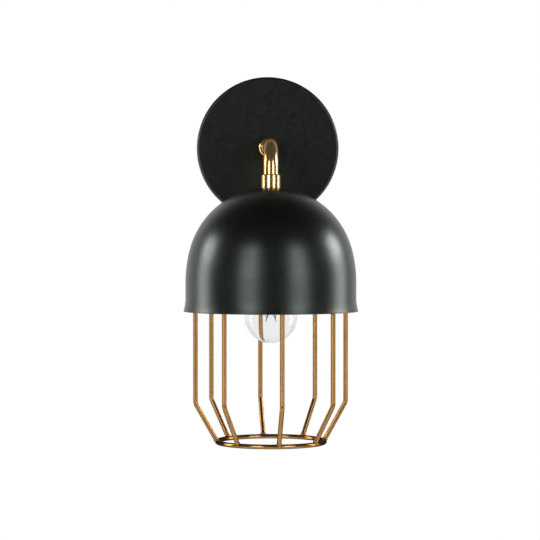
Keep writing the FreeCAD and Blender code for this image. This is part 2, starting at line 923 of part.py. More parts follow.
def lead_in_points():
    lower = globe_z - filament_lower_drop
    step = 180 / filament_loops
    return [(*on_circle((0, 0), filament_upper_radius, 45 + step * (n + shift)),
             lower + filament_rise)
            for n, shift in ((0, -lead_in_shift), (2 * filament_loops - 2, lead_in_shift))]


def bulb_supports():
    _, pinch, button = stem_levels()
    radius = support_diameter / 2
    wires = []
    for n, point in enumerate(filament_points()):
        x, y, z = point
        if n % 2 == 0:
            start = (0, 0, button + 1.2)
            spread = 1 + support_foot_spread / filament_lower_radius
            foot = (x * spread, y * spread, z - support_foot)
            wires.append(joined([rod(radius, start, point), rod(radius, point, foot)]))
        else:
            spread = 1 + support_past_coil / filament_upper_radius
            wires.append(rod(radius, (0, 0, pinch - 3), (x * spread, y * spread, z + support_lift)))
    for x, y, z in lead_in_points():
        wires.append(rod(radius, (x * 0.2, y * 0.2, pinch + 1), (x * 1.03, y * 1.03, z - 0.4)))
    stem = moved(bulb_stem(), y=-axis_y)
    wires = [wire.cut(stem) for wire in wires]
    return under_arm(Part.makeCompound([wire.Solids[0] for wire in wires]))


def bulb_filament():
    ends = lead_in_points()
    points = ends[:1] + filament_points() + ends[1:]
    radius = filament_diameter / 2
    pieces = [rod(radius, a, b) for a, b in zip(points, points[1:])]
    pieces += [Part.makeSphere(radius, Vector(*p)) for p in points[1:-1]]
    coil = under_arm(joined(pieces))
    return coil.cut(bulb_supports())


pieces = {
    "mounting_bracket": mounting_bracket(),
    "canopy_set_screws": canopy_set_screws(),
    "ground_screw": ground_screw(),
    "terminal_block": terminal_block(),
    "terminal_barrels": terminal_barrels(),
    "terminal_screws": terminal_screws(),
    "terminal_block_screw": block_screw(),
    "canopy": canopy(),
    "plate_lock_washer": plate_lock_washer(),
    "plate_nut": plate_nut(),
    "plate_nipple": plate_nipple(),
    "earth_tags": earth_tags(),
    "earth_lead": earth_lead(),
    "plate_collar": plate_collar(),
    "arm_tube": arm_tube(),
    "shade_collar": shade_collar(),
    "shade_nipple": shade_nipple(),
    "shade": shade(),
    "shade_lock_washer": shade_lock_washer(),
    "shade_nut": shade_nut(),
    "cage_spider": cage_spider(),
    "cage_top_ring": under_arm(top_ring()),
    "cage_bottom_ring": under_arm(bottom_ring()),
    "lampholder_cap": lampholder_cap(),
    "lampholder_body": lampholder_body(),
    "lampholder_core": lampholder_core(),
    "lampholder_posts": lampholder_posts(),
    "lampholder_screws": lampholder_screws(),
    "screw_shell": screw_shell(),
    "centre_contact": centre_contact(),
    "live_lead": lead(1),
    "neutral_lead": lead(-1),
    "bulb_glass": bulb_glass(),
    "bulb_base_shell": bulb_base_shell(),
    "bulb_base_insulator": bulb_base_insulator(),
    "bulb_contact_tip": bulb_contact_tip(),
    "bulb_stem": bulb_stem(),
    "bulb_supports": bulb_supports(),
    "bulb_filament": bulb_filament(),
}
for number, wire_angle in enumerate(wire_angles(), start=1):
    pieces[f"cage_wire_{number}"] = cage_wire(wire_angle)

os.makedirs("parts", exist_ok=True)
for name, shape in pieces.items():
    print(f"{name:22} solids {len(shape.Solids)}  valid {shape.isValid()}  {shape.Volume:10.1f} mm3")
    shape.exportStep(f"parts/{name}.step")
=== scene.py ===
import json
import math
import random

import bmesh
import bpy
from mathutils import Matrix, Vector


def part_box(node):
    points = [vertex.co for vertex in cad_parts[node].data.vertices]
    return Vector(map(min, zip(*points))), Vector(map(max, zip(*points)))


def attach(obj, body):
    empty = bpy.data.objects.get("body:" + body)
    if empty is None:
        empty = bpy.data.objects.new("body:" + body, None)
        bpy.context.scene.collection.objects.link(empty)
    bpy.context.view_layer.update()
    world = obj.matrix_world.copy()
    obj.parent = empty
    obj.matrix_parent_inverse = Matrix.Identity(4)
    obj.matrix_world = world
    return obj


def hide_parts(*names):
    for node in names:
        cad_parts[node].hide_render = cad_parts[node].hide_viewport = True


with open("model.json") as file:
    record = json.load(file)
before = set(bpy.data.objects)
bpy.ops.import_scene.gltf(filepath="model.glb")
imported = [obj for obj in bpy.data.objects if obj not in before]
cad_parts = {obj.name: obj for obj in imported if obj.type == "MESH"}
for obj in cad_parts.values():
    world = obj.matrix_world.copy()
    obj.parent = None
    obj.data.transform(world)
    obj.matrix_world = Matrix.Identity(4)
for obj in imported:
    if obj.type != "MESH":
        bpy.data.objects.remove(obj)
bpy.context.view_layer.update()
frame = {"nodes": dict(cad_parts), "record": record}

mm = 0.001


# ---- places read from the frame

def middle(node):
    low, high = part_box(node)
    return (low + high) / 2


axisX = middle("shade_collar").x
axisY = middle("shade_collar").y
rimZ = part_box("shade")[0].z
print("frame loaded, shade axis at y", round(axisY, 4), "rim at z", round(rimZ, 4))


# ---- mesh helpers

def meshPiece(name, verts, faces, smooth=True):
    mesh = bpy.data.meshes.new(name)
    mesh.from_pydata([tuple(v) for v in verts], [], faces)
    bm = bmesh.new()
    bm.from_mesh(mesh)
    bmesh.ops.recalc_face_normals(bm, faces=bm.faces)
    bm.to_mesh(mesh)
    bm.free()
    for poly in mesh.polygons:
        poly.use_smooth = smooth
    piece = bpy.data.objects.new(name, mesh)
    bpy.context.collection.objects.link(piece)
    return piece


def ringGrid(rows, columns, closed):
    # quads between rows of a wrapped grid; closed joins the last row to the first
    faces = []
    for row in range(rows if closed else rows - 1):
        nextRow = (row + 1) % rows
        for col in range(columns):
            nextCol = (col + 1) % columns
            faces.append((row * columns + col, row * columns + nextCol,
                          nextRow * columns + nextCol, nextRow * columns + col))
    return faces


def arcPoints(centre, radius, start, end, steps):
    points = []
    for n in range(steps + 1):
        angle = math.radians(start + (end - start) * n / steps)
        points.append((centre[0] + radius * math.cos(angle), centre[1] + radius * math.sin(angle)))
    return points


def turnedPiece(name, profile, columns=160, closed=True):
    # profile of (radius, z) in metres, turned about the shade's axis
    verts = []
    for radius, z in profile:
        for col in range(columns):
            angle = 2 * math.pi * col / columns
            verts.append((axisX + radius * math.cos(angle), axisY + radius * math.sin(angle), z))
    return meshPiece(name, verts, ringGrid(len(profile), columns, closed))


def sweptPiece(name, points, radius, sides=10, swell=None, closed=False):
    # round wire through points, with its section carried along without twisting
    points = [Vector(p) for p in points]
    count = len(points)
    tangents = []
    for n in range(count):
        before = points[(n - 1) % count] if closed or n else points[n]
        after = points[(n + 1) % count] if closed or n < count - 1 else points[n]
        tangents.append((after - before).normalized())
    side = tangents[0].orthogonal().normalized()
    verts = []
    for n, (point, tangent) in enumerate(zip(points, tangents)):
        side = (side - tangent * side.dot(tangent)).normalized()
        other = tangent.cross(side)
        size = radius * (swell(n / max(1, count - 1)) if swell else 1)
        for k in range(sides):
            angle = 2 * math.pi * k / sides
            verts.append(point + (side * math.cos(angle) + other * math.sin(angle)) * size)
    faces = ringGrid(count, sides, closed)
    if not closed:
        faces.append(tuple(range(sides)))
        faces.append(tuple(range((count - 1) * sides, count * sides)))
    return meshPiece(name, verts, faces)


def joinPieces(name, pieces):
    bm = bmesh.new()
    for piece in pieces:
        bm.from_mesh(piece.data)
        bpy.data.objects.remove(piece)
    mesh = bpy.data.meshes.new(name)
    bm.to_mesh(mesh)
    bm.free()
    for poly in mesh.polygons:
        poly.use_smooth = True
    joined = bpy.data.objects.new(name, mesh)
    bpy.context.collection.objects.link(joined)
    return joined


def dress(piece, body, slot, material, *nodes):
    piece.data.materials.clear()
    piece.data.materials.append(material)
    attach(piece, body)
    if nodes:
        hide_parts(*nodes)
    return piece


# ---- material helpers

def startMaterial(name):
    material = bpy.data.materials.new(name)
    material.use_nodes = True
    tree = material.node_tree
    shader = tree.nodes["Principled BSDF"]
    coords = tree.nodes.new("ShaderNodeTexCoord")
    return material, tree, shader, coords


def noiseOf(tree, coords, scale, detail=3.0, stretch=(1, 1, 1)):
    mapping = tree.nodes.new("ShaderNodeMapping")
    mapping.inputs["Scale"].default_value = stretch
    noise = tree.nodes.new("ShaderNodeTexNoise")
    noise.inputs["Scale"].default_value = scale
    noise.inputs["Detail"].default_value = detail
    tree.links.new(coords.outputs["Object"], mapping.inputs["Vector"])
    tree.links.new(mapping.outputs["Vector"], noise.inputs["Vector"])
    return noise.outputs["Fac"]


def rampOf(tree, value, stops, socket):
    ramp = tree.nodes.new("ShaderNodeValToRGB")
    elements = ramp.color_ramp.elements
    while len(elements) < len(stops):
        elements.new(0.5)
    for element, (place, colour) in zip(elements, stops):
        element.position = place
        element.color = (*colour, 1) if isinstance(colour, tuple) else (colour,) * 3 + (1,)
    tree.links.new(value, ramp.inputs["Fac"])
    tree.links.new(ramp.outputs["Color"], socket)


def bumpOf(tree, shader, value, strength, distance):
    bump = tree.nodes.new("ShaderNodeBump")
    bump.inputs["Strength"].default_value = strength
    bump.inputs["Distance"].default_value = distance
    tree.links.new(value, bump.inputs["Height"])
    tree.links.new(bump.outputs["Normal"], shader.inputs["Normal"])


finishes = {
    "powder": {"dark": (0.0016, 0.0022, 0.0016), "light": (0.0028, 0.0036, 0.0026),
               "rough": (0.28, 0.33), "peel": 0.02, "sheen": (0.88, 1.0, 0.90), "ior": 1.5},
    "brass": {"dark": (0.60, 0.38, 0.15), "light": (0.78, 0.55, 0.28),
              "edge": (0.45, 0.34, 0.22), "rough": (0.15, 0.20), "metal": 0.93,
              "brushing": 0.06},
    # wire: its last colour is painted shade, laid on the wire towards its outline
    "wire": {"dark": (0.29, 0.157, 0.050), "light": (0.34, 0.188, 0.063),
             "worn": (0.40, 0.224, 0.079), "edge": (0.03, 0.015, 0.006), "rough": (0.14, 0.18),
             "metal": 0.92, "outlineShade": (0.42, 0.32, 0.22), "drawing": 0.02},
    "glass": {"ior": 1.2, "reflection": 0.25, "ripple": 0.01},
}


def powderCoat():
    look = finishes["powder"]
    material, tree, shader, coords = startMaterial("satinBlackPowder")
    shader.inputs["IOR"].default_value = look["ior"]
    shader.inputs["Specular Tint"].default_value = (*look["sheen"], 1)
    cloud = noiseOf(tree, coords, 60, 4)
    rampOf(tree, cloud, [(0.35, look["dark"]), (0.65, look["light"])], shader.inputs["Base Color"])
    grain = noiseOf(tree, coords, 260, 2)
    rampOf(tree, grain, [(0.3, look["rough"][0]), (0.7, look["rough"][1])],
           shader.inputs["Roughness"])
    bumpOf(tree, shader, noiseOf(tree, coords, 700, 2), look["peel"], 0.0003)
    return material


def brushedBrass():
    look = finishes["brass"]
    material, tree, shader, coords = startMaterial("satinBrushedBrass")
    shader.inputs["Metallic"].default_value = look["metal"]
    shader.inputs["Specular Tint"].default_value = (*look["edge"], 1)
    tone = noiseOf(tree, coords, 90, 4)
    rampOf(tree, tone, [(0.3, look["dark"]), (0.7, look["light"])], shader.inputs["Base Color"])
    brushing = noiseOf(tree, coords, 300, 3, (1, 1, 9))
    rampOf(tree, brushing, [(0.3, look["rough"][0]), (0.7, look["rough"][1])],
           shader.inputs["Roughness"])
    bumpOf(tree, shader, brushing, look["brushing"], 0.0002)
    return material


def antiqueWire():
    look = finishes["wire"]
    material, tree, shader, coords = startMaterial("antiqueBrassPlating")
    shader.inputs["Metallic"].default_value = look["metal"]
    shader.inputs["Specular Tint"].default_value = (*look["edge"], 1)
    # painted shade: the wire's colour darkens towards its outline as the camera sees it
    mix = tree.nodes.new("ShaderNodeMixRGB")
    mix.blend_type = "MULTIPLY"
    mix.inputs["Fac"].default_value = 1
    tree.links.new(mix.outputs["Color"], shader.inputs["Base Color"])
    tone = noiseOf(tree, coords, 130, 3, (1, 1, 0.16))
    rampOf(tree, tone, [(0.28, look["dark"]), (0.5, look["light"]), (0.8, look["worn"])],
           mix.inputs["Color1"])
    outline = tree.nodes.new("ShaderNodeLayerWeight")
    outline.inputs["Blend"].default_value = 0.5
    rampOf(tree, outline.outputs["Facing"],
           [(0.0, 1.0), (0.2, 1.0), (0.55, look["outlineShade"])], mix.inputs["Color2"])
    wear = noiseOf(tree, coords, 240, 3, (1, 1, 0.3))
    rampOf(tree, wear, [(0.35, look["rough"][1]), (0.65, look["rough"][0])],
           shader.inputs["Roughness"])
    bumpOf(tree, shader, noiseOf(tree, coords, 300, 2, (1, 1, 0.1)), look["drawing"], 0.0002)
    return material


def platedMetal(name, dark, light, rough, scale=150, stretch=(1, 1, 1)):
    material, tree, shader, coords = startMaterial(name)
    shader.inputs["Metallic"].default_value = 1
    tone = noiseOf(tree, coords, scale, 5, stretch)
    rampOf(tree, tone, [(0.3, dark), (0.7, light)], shader.inputs["Base Color"])
    grain = noiseOf(tree, coords, scale * 4, 4, stretch)
    rampOf(tree, grain, [(0.3, rough[0]), (0.7, rough[1])], shader.inputs["Roughness"])
    bumpOf(tree, shader, grain, 0.08, 0.0002)
    return material


def mouldedPlastic(name, dark, light, rough=(0.35, 0.5), peel=0.1):
    material, tree, shader, coords = startMaterial(name)
    tone = noiseOf(tree, coords, 120, 3)
    rampOf(tree, tone, [(0.3, dark), (0.7, light)], shader.inputs["Base Color"])
    grain = noiseOf(tree, coords, 900, 3)
    rampOf(tree, grain, [(0.3, rough[0]), (0.7, rough[1])], shader.inputs["Roughness"])
    bumpOf(tree, shader, grain, peel, 0.0002)
    return material


def clearGlass(name, tint, rough=0.0):
    look = finishes["glass"]
    material, tree, shader, coords = startMaterial(name)
    shader.inputs["Transmission Weight"].default_value = 1
    shader.inputs["IOR"].default_value = look["ior"]
    shader.inputs["Specular IOR Level"].default_value = look["reflection"]
    waves = noiseOf(tree, coords, 45, 2)
    rampOf(tree, waves, [(0.3, tint), (0.7, tuple(min(1, t + 0.01) for t in tint))],
           shader.inputs["Base Color"])
    rampOf(tree, waves, [(0.3, rough), (0.7, rough + 0.012)], shader.inputs["Roughness"])
    bumpOf(tree, shader, waves, look["ripple"], 0.0003)
    return material


black = powderCoat()
brass = brushedBrass()
wireGold = antiqueWire()
zinc = platedMetal("zincPlating", (0.42, 0.43, 0.44), (0.66, 0.67, 0.68), (0.28, 0.42))
nickel = platedMetal("nickelPlating", (0.55, 0.54, 0.51), (0.74, 0.73, 0.70), (0.18, 0.30))
rawBrass = platedMetal("rawBrass", (0.50, 0.36, 0.15), (0.72, 0.55, 0.27), (0.22, 0.36))
tungsten = platedMetal("dullTungsten", (0.05, 0.05, 0.055), (0.12, 0.12, 0.13), (0.35, 0.5))
solder = platedMetal("leadFreeSolder", (0.46, 0.46, 0.45), (0.64, 0.64, 0.62), (0.3, 0.45), 500)
greenZinc = platedMetal("greenDyedZinc", (0.02, 0.14, 0.05), (0.05, 0.24, 0.09), (0.3, 0.42))
phenolic = mouldedPlastic("blackPhenolic", (0.010, 0.010, 0.010), (0.018, 0.017, 0.016),
                          (0.28, 0.4), 0.05)
nylon = mouldedPlastic("naturalNylon", (0.70, 0.69, 0.63), (0.80, 0.79, 0.74))
blackPvc = mouldedPlastic("blackPvc", (0.012, 0.012, 0.012), (0.02, 0.02, 0.02))
whitePvc = mouldedPlastic("whitePvc", (0.72, 0.72, 0.70), (0.80, 0.80, 0.78))
greenPvc = mouldedPlastic("greenPvc", (0.02, 0.16, 0.05), (0.04, 0.24, 0.08))
blackGlass = mouldedPlastic("blackBaseGlass", (0.006, 0.006, 0.007), (0.012, 0.012, 0.014),
                            (0.08, 0.16), 0.02)
glass = clearGlass("clearBulbGlass", (0.915, 0.92, 0.915))
stemGlass = clearGlass("clearStemGlass", (0.95, 0.955, 0.95), 0.01)
print("materials made")

slotLooks = {
    "black_paint": black, "satin_brass": brass, "cage_gold": wireGold, "zinc_steel": zinc,
    "ground_green": greenZinc, "contact_brass": rawBrass, "block_plastic": nylon,
    "black_phenolic": phenolic, "live_insulation": blackPvc, "neutral_insulation": whitePvc,
    "earth_insulation": greenPvc, "clear_glass": stemGlass, "bulb_base_metal": nickel,
    "base_insulator": blackGlass, "solder_tip": solder, "filament_metal": tungsten,
}
slotOf = {part["node"]: part["material_slot"] for part in frame["record"]["subparts"]}
for node, piece in frame["nodes"].items():
    look = slotLooks[slotOf[node]]
    piece.data.materials.clear()
    piece.data.materials.append(look)
print("CAD nodes painted:", len(slotOf))


# ---- shade: the same dome, turned finely so that its highlights run smooth

shadeSizes = {"radius": 73.1 * mm, "flare": 1.84 * mm, "flareHeight": 12 * mm,
              "skirt": 25 * mm, "sideRadius": 110 * mm, "sideAngle": 15.0,
              "seat": 12 * mm, "blend": 20 * mm, "sheet": 1.2 * mm, "hole": 5.15 * mm}


def shadeProfile(size):
    # outside from the rim up to the hole, then back down inside
    angle = math.radians(size["sideAngle"])
    sideX = size["radius"] - size["sideRadius"]
    crownRadius = size["sideRadius"] + sideX / math.cos(angle)
    crownHeight = size["skirt"] - sideX * math.tan(angle)
    rise = math.sqrt((crownRadius - size["blend"]) ** 2 - size["seat"] ** 2)
    blend = (size["seat"], crownHeight + rise)
    meet = math.degrees(math.atan2(rise, size["seat"]))
    flareRadius = (size["flareHeight"] ** 2 + size["flare"] ** 2) / (2 * size["flare"])
    flare = (size["radius"] + flareRadius, size["flareHeight"])
    wall = size["sheet"]
    outer = 180 + math.degrees(math.asin(size["flareHeight"] / flareRadius))
    inner = 180 + math.degrees(math.asin(size["flareHeight"] / (flareRadius + wall)))
    top = blend[1] + size["blend"]
    points = arcPoints(flare, flareRadius, outer - 0.5, 180, 12)
    points += arcPoints((sideX, size["skirt"]), size["sideRadius"], 0, size["sideAngle"], 14)
    points += arcPoints((0, crownHeight), crownRadius, size["sideAngle"] + 1, meet, 40)
    points += arcPoints(blend, size["blend"], meet + 1, 90, 8)
    points += [(size["hole"], top), (size["hole"], top - wall)]
    points += arcPoints(blend, size["blend"] - wall, 90, meet + 1, 8)
    points += arcPoints((0, crownHeight), crownRadius - wall, meet, size["sideAngle"] + 1, 40)
    points += arcPoints((sideX, size["skirt"]), size["sideRadius"] - wall, size["sideAngle"], 0, 14)
    points += arcPoints(flare, flareRadius + wall, 180, inner - 0.5, 12)
    rimOut = points[0]
    rimIn = points[-1]
    rimMid = ((rimOut[0] + rimIn[0]) / 2, 0)
    lip = [(rimIn[0] + 0.12 * wall, 0.1 * wall), rimMid, (rimOut[0] - 0.12 * wall, 0.1 * wall)]
    return [(r, rimZ + z) for r, z in points + lip]


shade = turnedPiece("spunShade", shadeProfile(shadeSizes), 256)
dress(shade, "fixture", "black_paint", black, "shade")
print("shade turned")


# ---- cage: weld beads where wires meet the rings

cageSizes = {"wires": 8, "turn": 6.4, "ringRadius": 46 * mm, "topRingRadius": 61.15 * mm,
             "wireRadius": 2 * mm, "slant": 29.6, "beadRadius": 0.75 * mm, "beadPoints": 28}


def beadRing(centre, normal, radius, beadRadius, seed):
    # an uneven fillet of weld metal, laid round a wire where it meets another
    rng = random.Random(seed)
    normal = normal.normalized()
    side = normal.orthogonal().normalized()
    other = normal.cross(side)
    phase = [rng.uniform(0, 6.28) for _ in range(3)]
    points = []
    count = cageSizes["beadPoints"]
    for n in range(count):
        a = 2 * math.pi * n / count
        reach = radius * (1 + 0.04 * math.sin(3 * a + phase[0]) + 0.03 * math.sin(5 * a + phase[1]))
        lift = normal * beadRadius * 0.25 * math.sin(2 * a + phase[2])
        points.append(centre + (side * math.cos(a) + other * math.sin(a)) * reach + lift)
    return sweptPiece("bead", points, beadRadius, 8, closed=True)


def cageBeads(size):
    ringZ = middle("cage_bottom_ring").z
    topZ = middle("cage_top_ring").z
    slant = math.radians(size["slant"])
    lower = []
    upper = []
    for n in range(size["wires"]):
        angle = math.radians(size["turn"] - 90 + 360 / size["wires"] * n)
        out = Vector((math.cos(angle), math.sin(angle), 0))
        along = out * math.sin(slant) + Vector((0, 0, math.cos(slant)))
        foot = Vector((axisX, axisY, ringZ)) + out * size["ringRadius"]
        lower.append(beadRing(foot + along * size["wireRadius"] * 1.12, along,
                              size["wireRadius"] * 0.86, size["beadRadius"], n))
        touch = Vector((axisX, axisY, topZ)) + out * (size["topRingRadius"] + size["wireRadius"])
        upper.append(beadRing(touch, out, size["wireRadius"] * 0.8, size["beadRadius"] * 0.8,
                              n + 20))
    beads = joinPieces("cageWeldBeads", lower)
    spots = joinPieces("topRingSpotWelds", upper)
    dress(beads, "fixture", "cage_gold", wireGold)
    dress(spots, "fixture", "cage_gold", wireGold)


cageBeads(cageSizes)
print("cage welds laid")


# ---- medium screw threads on the bulb's base and in the lampholder

threadSizes = {"pitch": 3.629 * mm, "depth": 0.55 * mm, "clearance": 0.3 * mm,
               "columns": 96, "rowsPerTurn": 14, "lipStep": 0.95 * mm, "lip": 1.5 * mm,
               "curl": 2.5 * mm, "baseSheet": 0.3 * mm, "plainLow": 3.2 * mm,
               "plainHigh": 1.2 * mm, "baseFade": 1.6 * mm, "holderSheet": 0.35 * mm,
               "holderPlainLow": 0.8 * mm, "holderPlainHigh": 3 * mm, "holderFade": 2 * mm,
               "holderShare": 0.8, "floor": 0.4 * mm, "floorHole": 8 * mm}


def threadedWall(name, low, high, outerAt, innerAt, size):
    # a thin sleeve; outerAt and innerAt give radii from the angle in turns and the height
    rows = int((high - low) / size["pitch"] * size["rowsPerTurn"])
    columns = size["columns"]
    verts = []
    heights = [low + (high - low) * n / rows for n in range(rows + 1)]
    for radiusAt, levels in ((outerAt, heights), (innerAt, heights[::-1])):
        for z in levels:
            for col in range(columns):
                turns = col / columns
                angle = 2 * math.pi * turns
                radius = radiusAt(turns, z)
                verts.append((axisX + radius * math.cos(angle),
                              axisY + radius * math.sin(angle), z))
    return meshPiece(name, verts, ringGrid(2 * (rows + 1), columns, True))


def fade(z, low, high, run):
    # 1 along a thread, down to 0 over a short run at either end
    inside = min((z - low) / run, (high - z) / run, 1)
    return max(0.0, inside)


def threadWave(size, turns, z):
    return 0.5 - 0.5 * math.cos(2 * math.pi * (z / size["pitch"] - turns))


def bulbBaseShell(size):
    low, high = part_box("bulb_base_shell")
    outer = (high.x - low.x) / 2
    neck = outer - size["lipStep"]
    lip, curl = size["lip"], size["curl"]
    threadLow, threadHigh = low.z + size["plainLow"], high.z - size["plainHigh"]

    def outside(turns, z):
        depth = size["depth"] * threadWave(size, turns, z)
        radius = outer - depth * fade(z, threadLow, threadHigh, size["baseFade"])
        if z < low.z + lip:
            radius = neck + (outer - neck) * math.sqrt(max(0, (z - low.z) / lip))
        if z > high.z - curl:
            step = (z - (high.z - curl)) / curl
            radius -= curl * (1 - math.sqrt(max(0, 1 - 0.86 * step * step)))
        return radius

    def inside(turns, z):
        return outside(turns, z) - size["baseSheet"]

    shell = threadedWall("threadedBulbBase", low.z, high.z, outside, inside, size)
    dress(shell, "bulb", "bulb_base_metal", nickel, "bulb_base_shell")


def holderShell(size):
    low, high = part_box("screw_shell")
    bulbLow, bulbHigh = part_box("bulb_base_shell")
    bulbOuter = (bulbHigh.x - bulbLow.x) / 2
    threadLow, threadHigh = low.z + size["holderPlainLow"], high.z - size["holderPlainHigh"]

    def inside(turns, z):
        cut = size["depth"] * threadWave(size, turns, z)
        cut *= fade(z, threadLow, threadHigh, size["holderFade"])
        return bulbOuter + size["clearance"] - cut * size["holderShare"]

    def outside(turns, z):
        return inside(turns, z) + size["holderSheet"]

    floorZ = high.z - size["floor"]
    reach = bulbOuter + 0.5 * mm
    shell = threadedWall("threadedHolderShell", low.z, floorZ, outside, inside, size)
    floor = turnedPiece("holderShellFloor", [
        (size["floorHole"], floorZ), (reach, floorZ), (reach, high.z),
        (size["floorHole"], high.z)], size["columns"])
    both = joinPieces("holderScrewShell", [shell, floor])
    dress(both, "fixture", "contact_brass", rawBrass, "screw_shell")


bulbBaseShell(threadSizes)
holderShell(threadSizes)
print("lamp threads cut")


# ---- fine threads on the two hollow tubes

nippleSizes = {"pitch": 1.0 * mm, "depth": 0.45 * mm, "outer": 4.85 * mm, "bore": 3.5 * mm,
               "fade": 0.8 * mm, "columns": 48, "rowsPerTurn": 8}


def nippleThread(name, low, high, size):
    def outside(turns, z):
        wave = abs(((z / size["pitch"] - turns) % 1) * 2 - 1)
        return size["outer"] - size["depth"] * wave * fade(z, low, high, size["fade"])

    def inside(turns, z):
        return size["bore"]

    return threadedWall(name, low, high, outside, inside, size)


def layNipples(size):
    low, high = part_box("shade_nipple")
    upright = nippleThread("shadeNippleThread", low.z, high.z, size)
    dress(upright, "fixture", "zinc_steel", zinc, "shade_nipple")
    low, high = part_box("plate_nipple")
    flat = nippleThread("plateNippleThread", 0.0, high.y - low.y, size)
    flat.data.transform(Matrix.Translation((-axisX, -axisY, 0)))
    flat.data.transform(Matrix.Rotation(math.radians(90), 4, "X"))
    flat.data.transform(Matrix.Translation((0, high.y, 0)))
    dress(flat, "fixture", "zinc_steel", zinc, "plate_nipple")


layNipples(nippleSizes)


# ---- bulb: globe, supports, coiled filament and a drop of solder

bulbSizes = {"globe": 22.5 * mm, "wall": 0.7 * mm, "neck": 12 * mm, "blend": 8 * mm,
             "lowerRadius": 5.2 * mm, "upperRadius": 8.0 * mm, "lowerDrop": 0.8 * mm,
             "rise": 12.4 * mm, "loops": 4, "coilRadius": 0.2 * mm, "coilPitch": 0.34 * mm,
             "coilWire": 0.075 * mm, "coilSteps": 7, "sag": 0.35 * mm, "first": 45.0,
             "overrun": 0.7, "eye": 0.42 * mm, "eyeSteps": 12, "support": 0.2 * mm,
             "foot": 3.2 * mm, "pinch": 4.5 * mm, "solder": 0.55 * mm}
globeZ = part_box("bulb_glass")[0].z + bulbSizes["globe"]
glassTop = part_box("bulb_glass")[1].z


def globePiece(size):
    reach = size["neck"] + size["blend"]
    rise = math.sqrt((size["globe"] + size["blend"]) ** 2 - reach ** 2)
    meet = math.degrees(math.atan2(rise, reach))
    blend = (reach, globeZ + rise)
    wall = size["wall"]
    outside = arcPoints((0, globeZ), size["globe"], -89.2, meet, 60)
    outside += arcPoints(blend, size["blend"], 180 + meet - 2, 180, 12)
    outside.append((size["neck"], glassTop))
    inside = [(size["neck"] - wall, glassTop)]
    inside += arcPoints(blend, size["blend"] + wall, 180, 180 + meet - 2, 12)
    inside += arcPoints((0, globeZ), size["globe"] - wall, meet, -89.2, 60)
    globe = turnedPiece("clearGlobe", outside + inside, 192, closed=False)
    bm = bmesh.new()
    bm.from_mesh(globe.data)
    bmesh.ops.holes_fill(bm, edges=[e for e in bm.edges if e.is_boundary], sides=0)
    bmesh.ops.recalc_face_normals(bm, faces=bm.faces)
    bm.to_mesh(globe.data)
    bm.free()
    for poly in globe.data.polygons:
        poly.use_smooth = True
    dress(globe, "bulb", "clear_glass", glass, "bulb_glass")


def filamentCorners(size):
    lower = globeZ - size["lowerDrop"]
    step = 180 / size["loops"]
    corners = []
    for n in range(2 * size["loops"] - 1):
        low = n % 2 == 0
        radius = size["lowerRadius"] if low else size["upperRadius"]
        angle = math.radians(size["first"] + step * n)
        corners.append(Vector((axisX + radius * math.cos(angle), axisY + radius * math.sin(angle),
                               lower if low else lower + size["rise"])))
    ends = []
    for n in (-size["overrun"], 2 * size["loops"] - 2 + size["overrun"]):
        angle = math.radians(size["first"] + step * n)
        ends.append(Vector((axisX + size["upperRadius"] * math.cos(angle),
                            axisY + size["upperRadius"] * math.sin(angle), lower + size["rise"])))
    return [ends[0]] + corners + [ends[1]]


def coiledFilament(size):
    corners = filamentCorners(size)
    points = []
    turn = 0.0
    for start, end in zip(corners, corners[1:]):
        run = (end - start).length
        heading = (end - start).normalized()
        side = heading.orthogonal().normalized()
        other = heading.cross(side)
        steps = int(run / size["coilPitch"] * size["coilSteps"])
        for n in range(steps):
            share = n / steps
            sag = Vector((0, 0, -size["sag"] * math.sin(math.pi * share)))
            turn += 2 * math.pi / size["coilSteps"]
            points.append(start + heading * run * share + sag
                          + (side * math.cos(turn) + other * math.sin(turn)) * size["coilRadius"])
    coil = sweptPiece("coiledFilament", points, size["coilWire"], 4)
    dress(coil, "bulb", "filament_metal", tungsten, "bulb_filament")


def hookWire(start, corner, foot, size):
    # straight out from the button, a small eye round the coil, then a short foot
    heading = (corner - start).normalized()
    side = heading.cross(Vector((0, 0, 1))).normalized()
    other = heading.cross(side)
    eye, steps = size["eye"], size["eyeSteps"]
    points = [start, start.lerp(corner, 0.5)]
    for n in range(steps + 1):
        a = 2 * math.pi * n / steps
        points.append(corner + side * eye * math.sin(a) + other * eye * (1 - math.cos(a))
                      + heading * 0.12 * mm * (2 * n / steps - 1))
    points.append(corner.lerp(foot, 0.6))
    points.append(foot)
    return sweptPiece("hook", points, size["support"], 6)


def supportWires(size):
    corners = filamentCorners(size)
    button = Vector((axisX, axisY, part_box("bulb_stem")[0].z + 1.2 * mm))
    pinch = globeZ - size["lowerDrop"] + size["rise"] + size["pinch"]
    wires = []
    for n, corner in enumerate(corners[1:-1]):
        flat = Vector((corner.x - axisX, corner.y - axisY, 0))
        if n % 2 == 0:
            foot = corner + flat.normalized() * 0.8 * mm - Vector((0, 0, size["foot"]))
            wires.append(hookWire(button, corner, foot, size))
        else:
            start = Vector((axisX, axisY, pinch - 3 * mm))
            wires.append(hookWire(start, corner, corner + flat.normalized() * 0.9 * mm, size))
    for corner in (corners[0], corners[-1]):
        flat = Vector((corner.x - axisX, corner.y - axisY, 0))
        start = Vector((axisX, axisY, pinch + 4 * mm)) + flat * 0.16
        bend = Vector((axisX, axisY, pinch)) + flat * 0.25
        wires.append(sweptPiece("leadIn", [start, bend, corner.lerp(bend, 0.1), corner],
                                size["support"], 6))
    supports = joinPieces("filamentSupports", wires)
    dress(supports, "bulb", "filament_metal", tungsten, "bulb_supports")


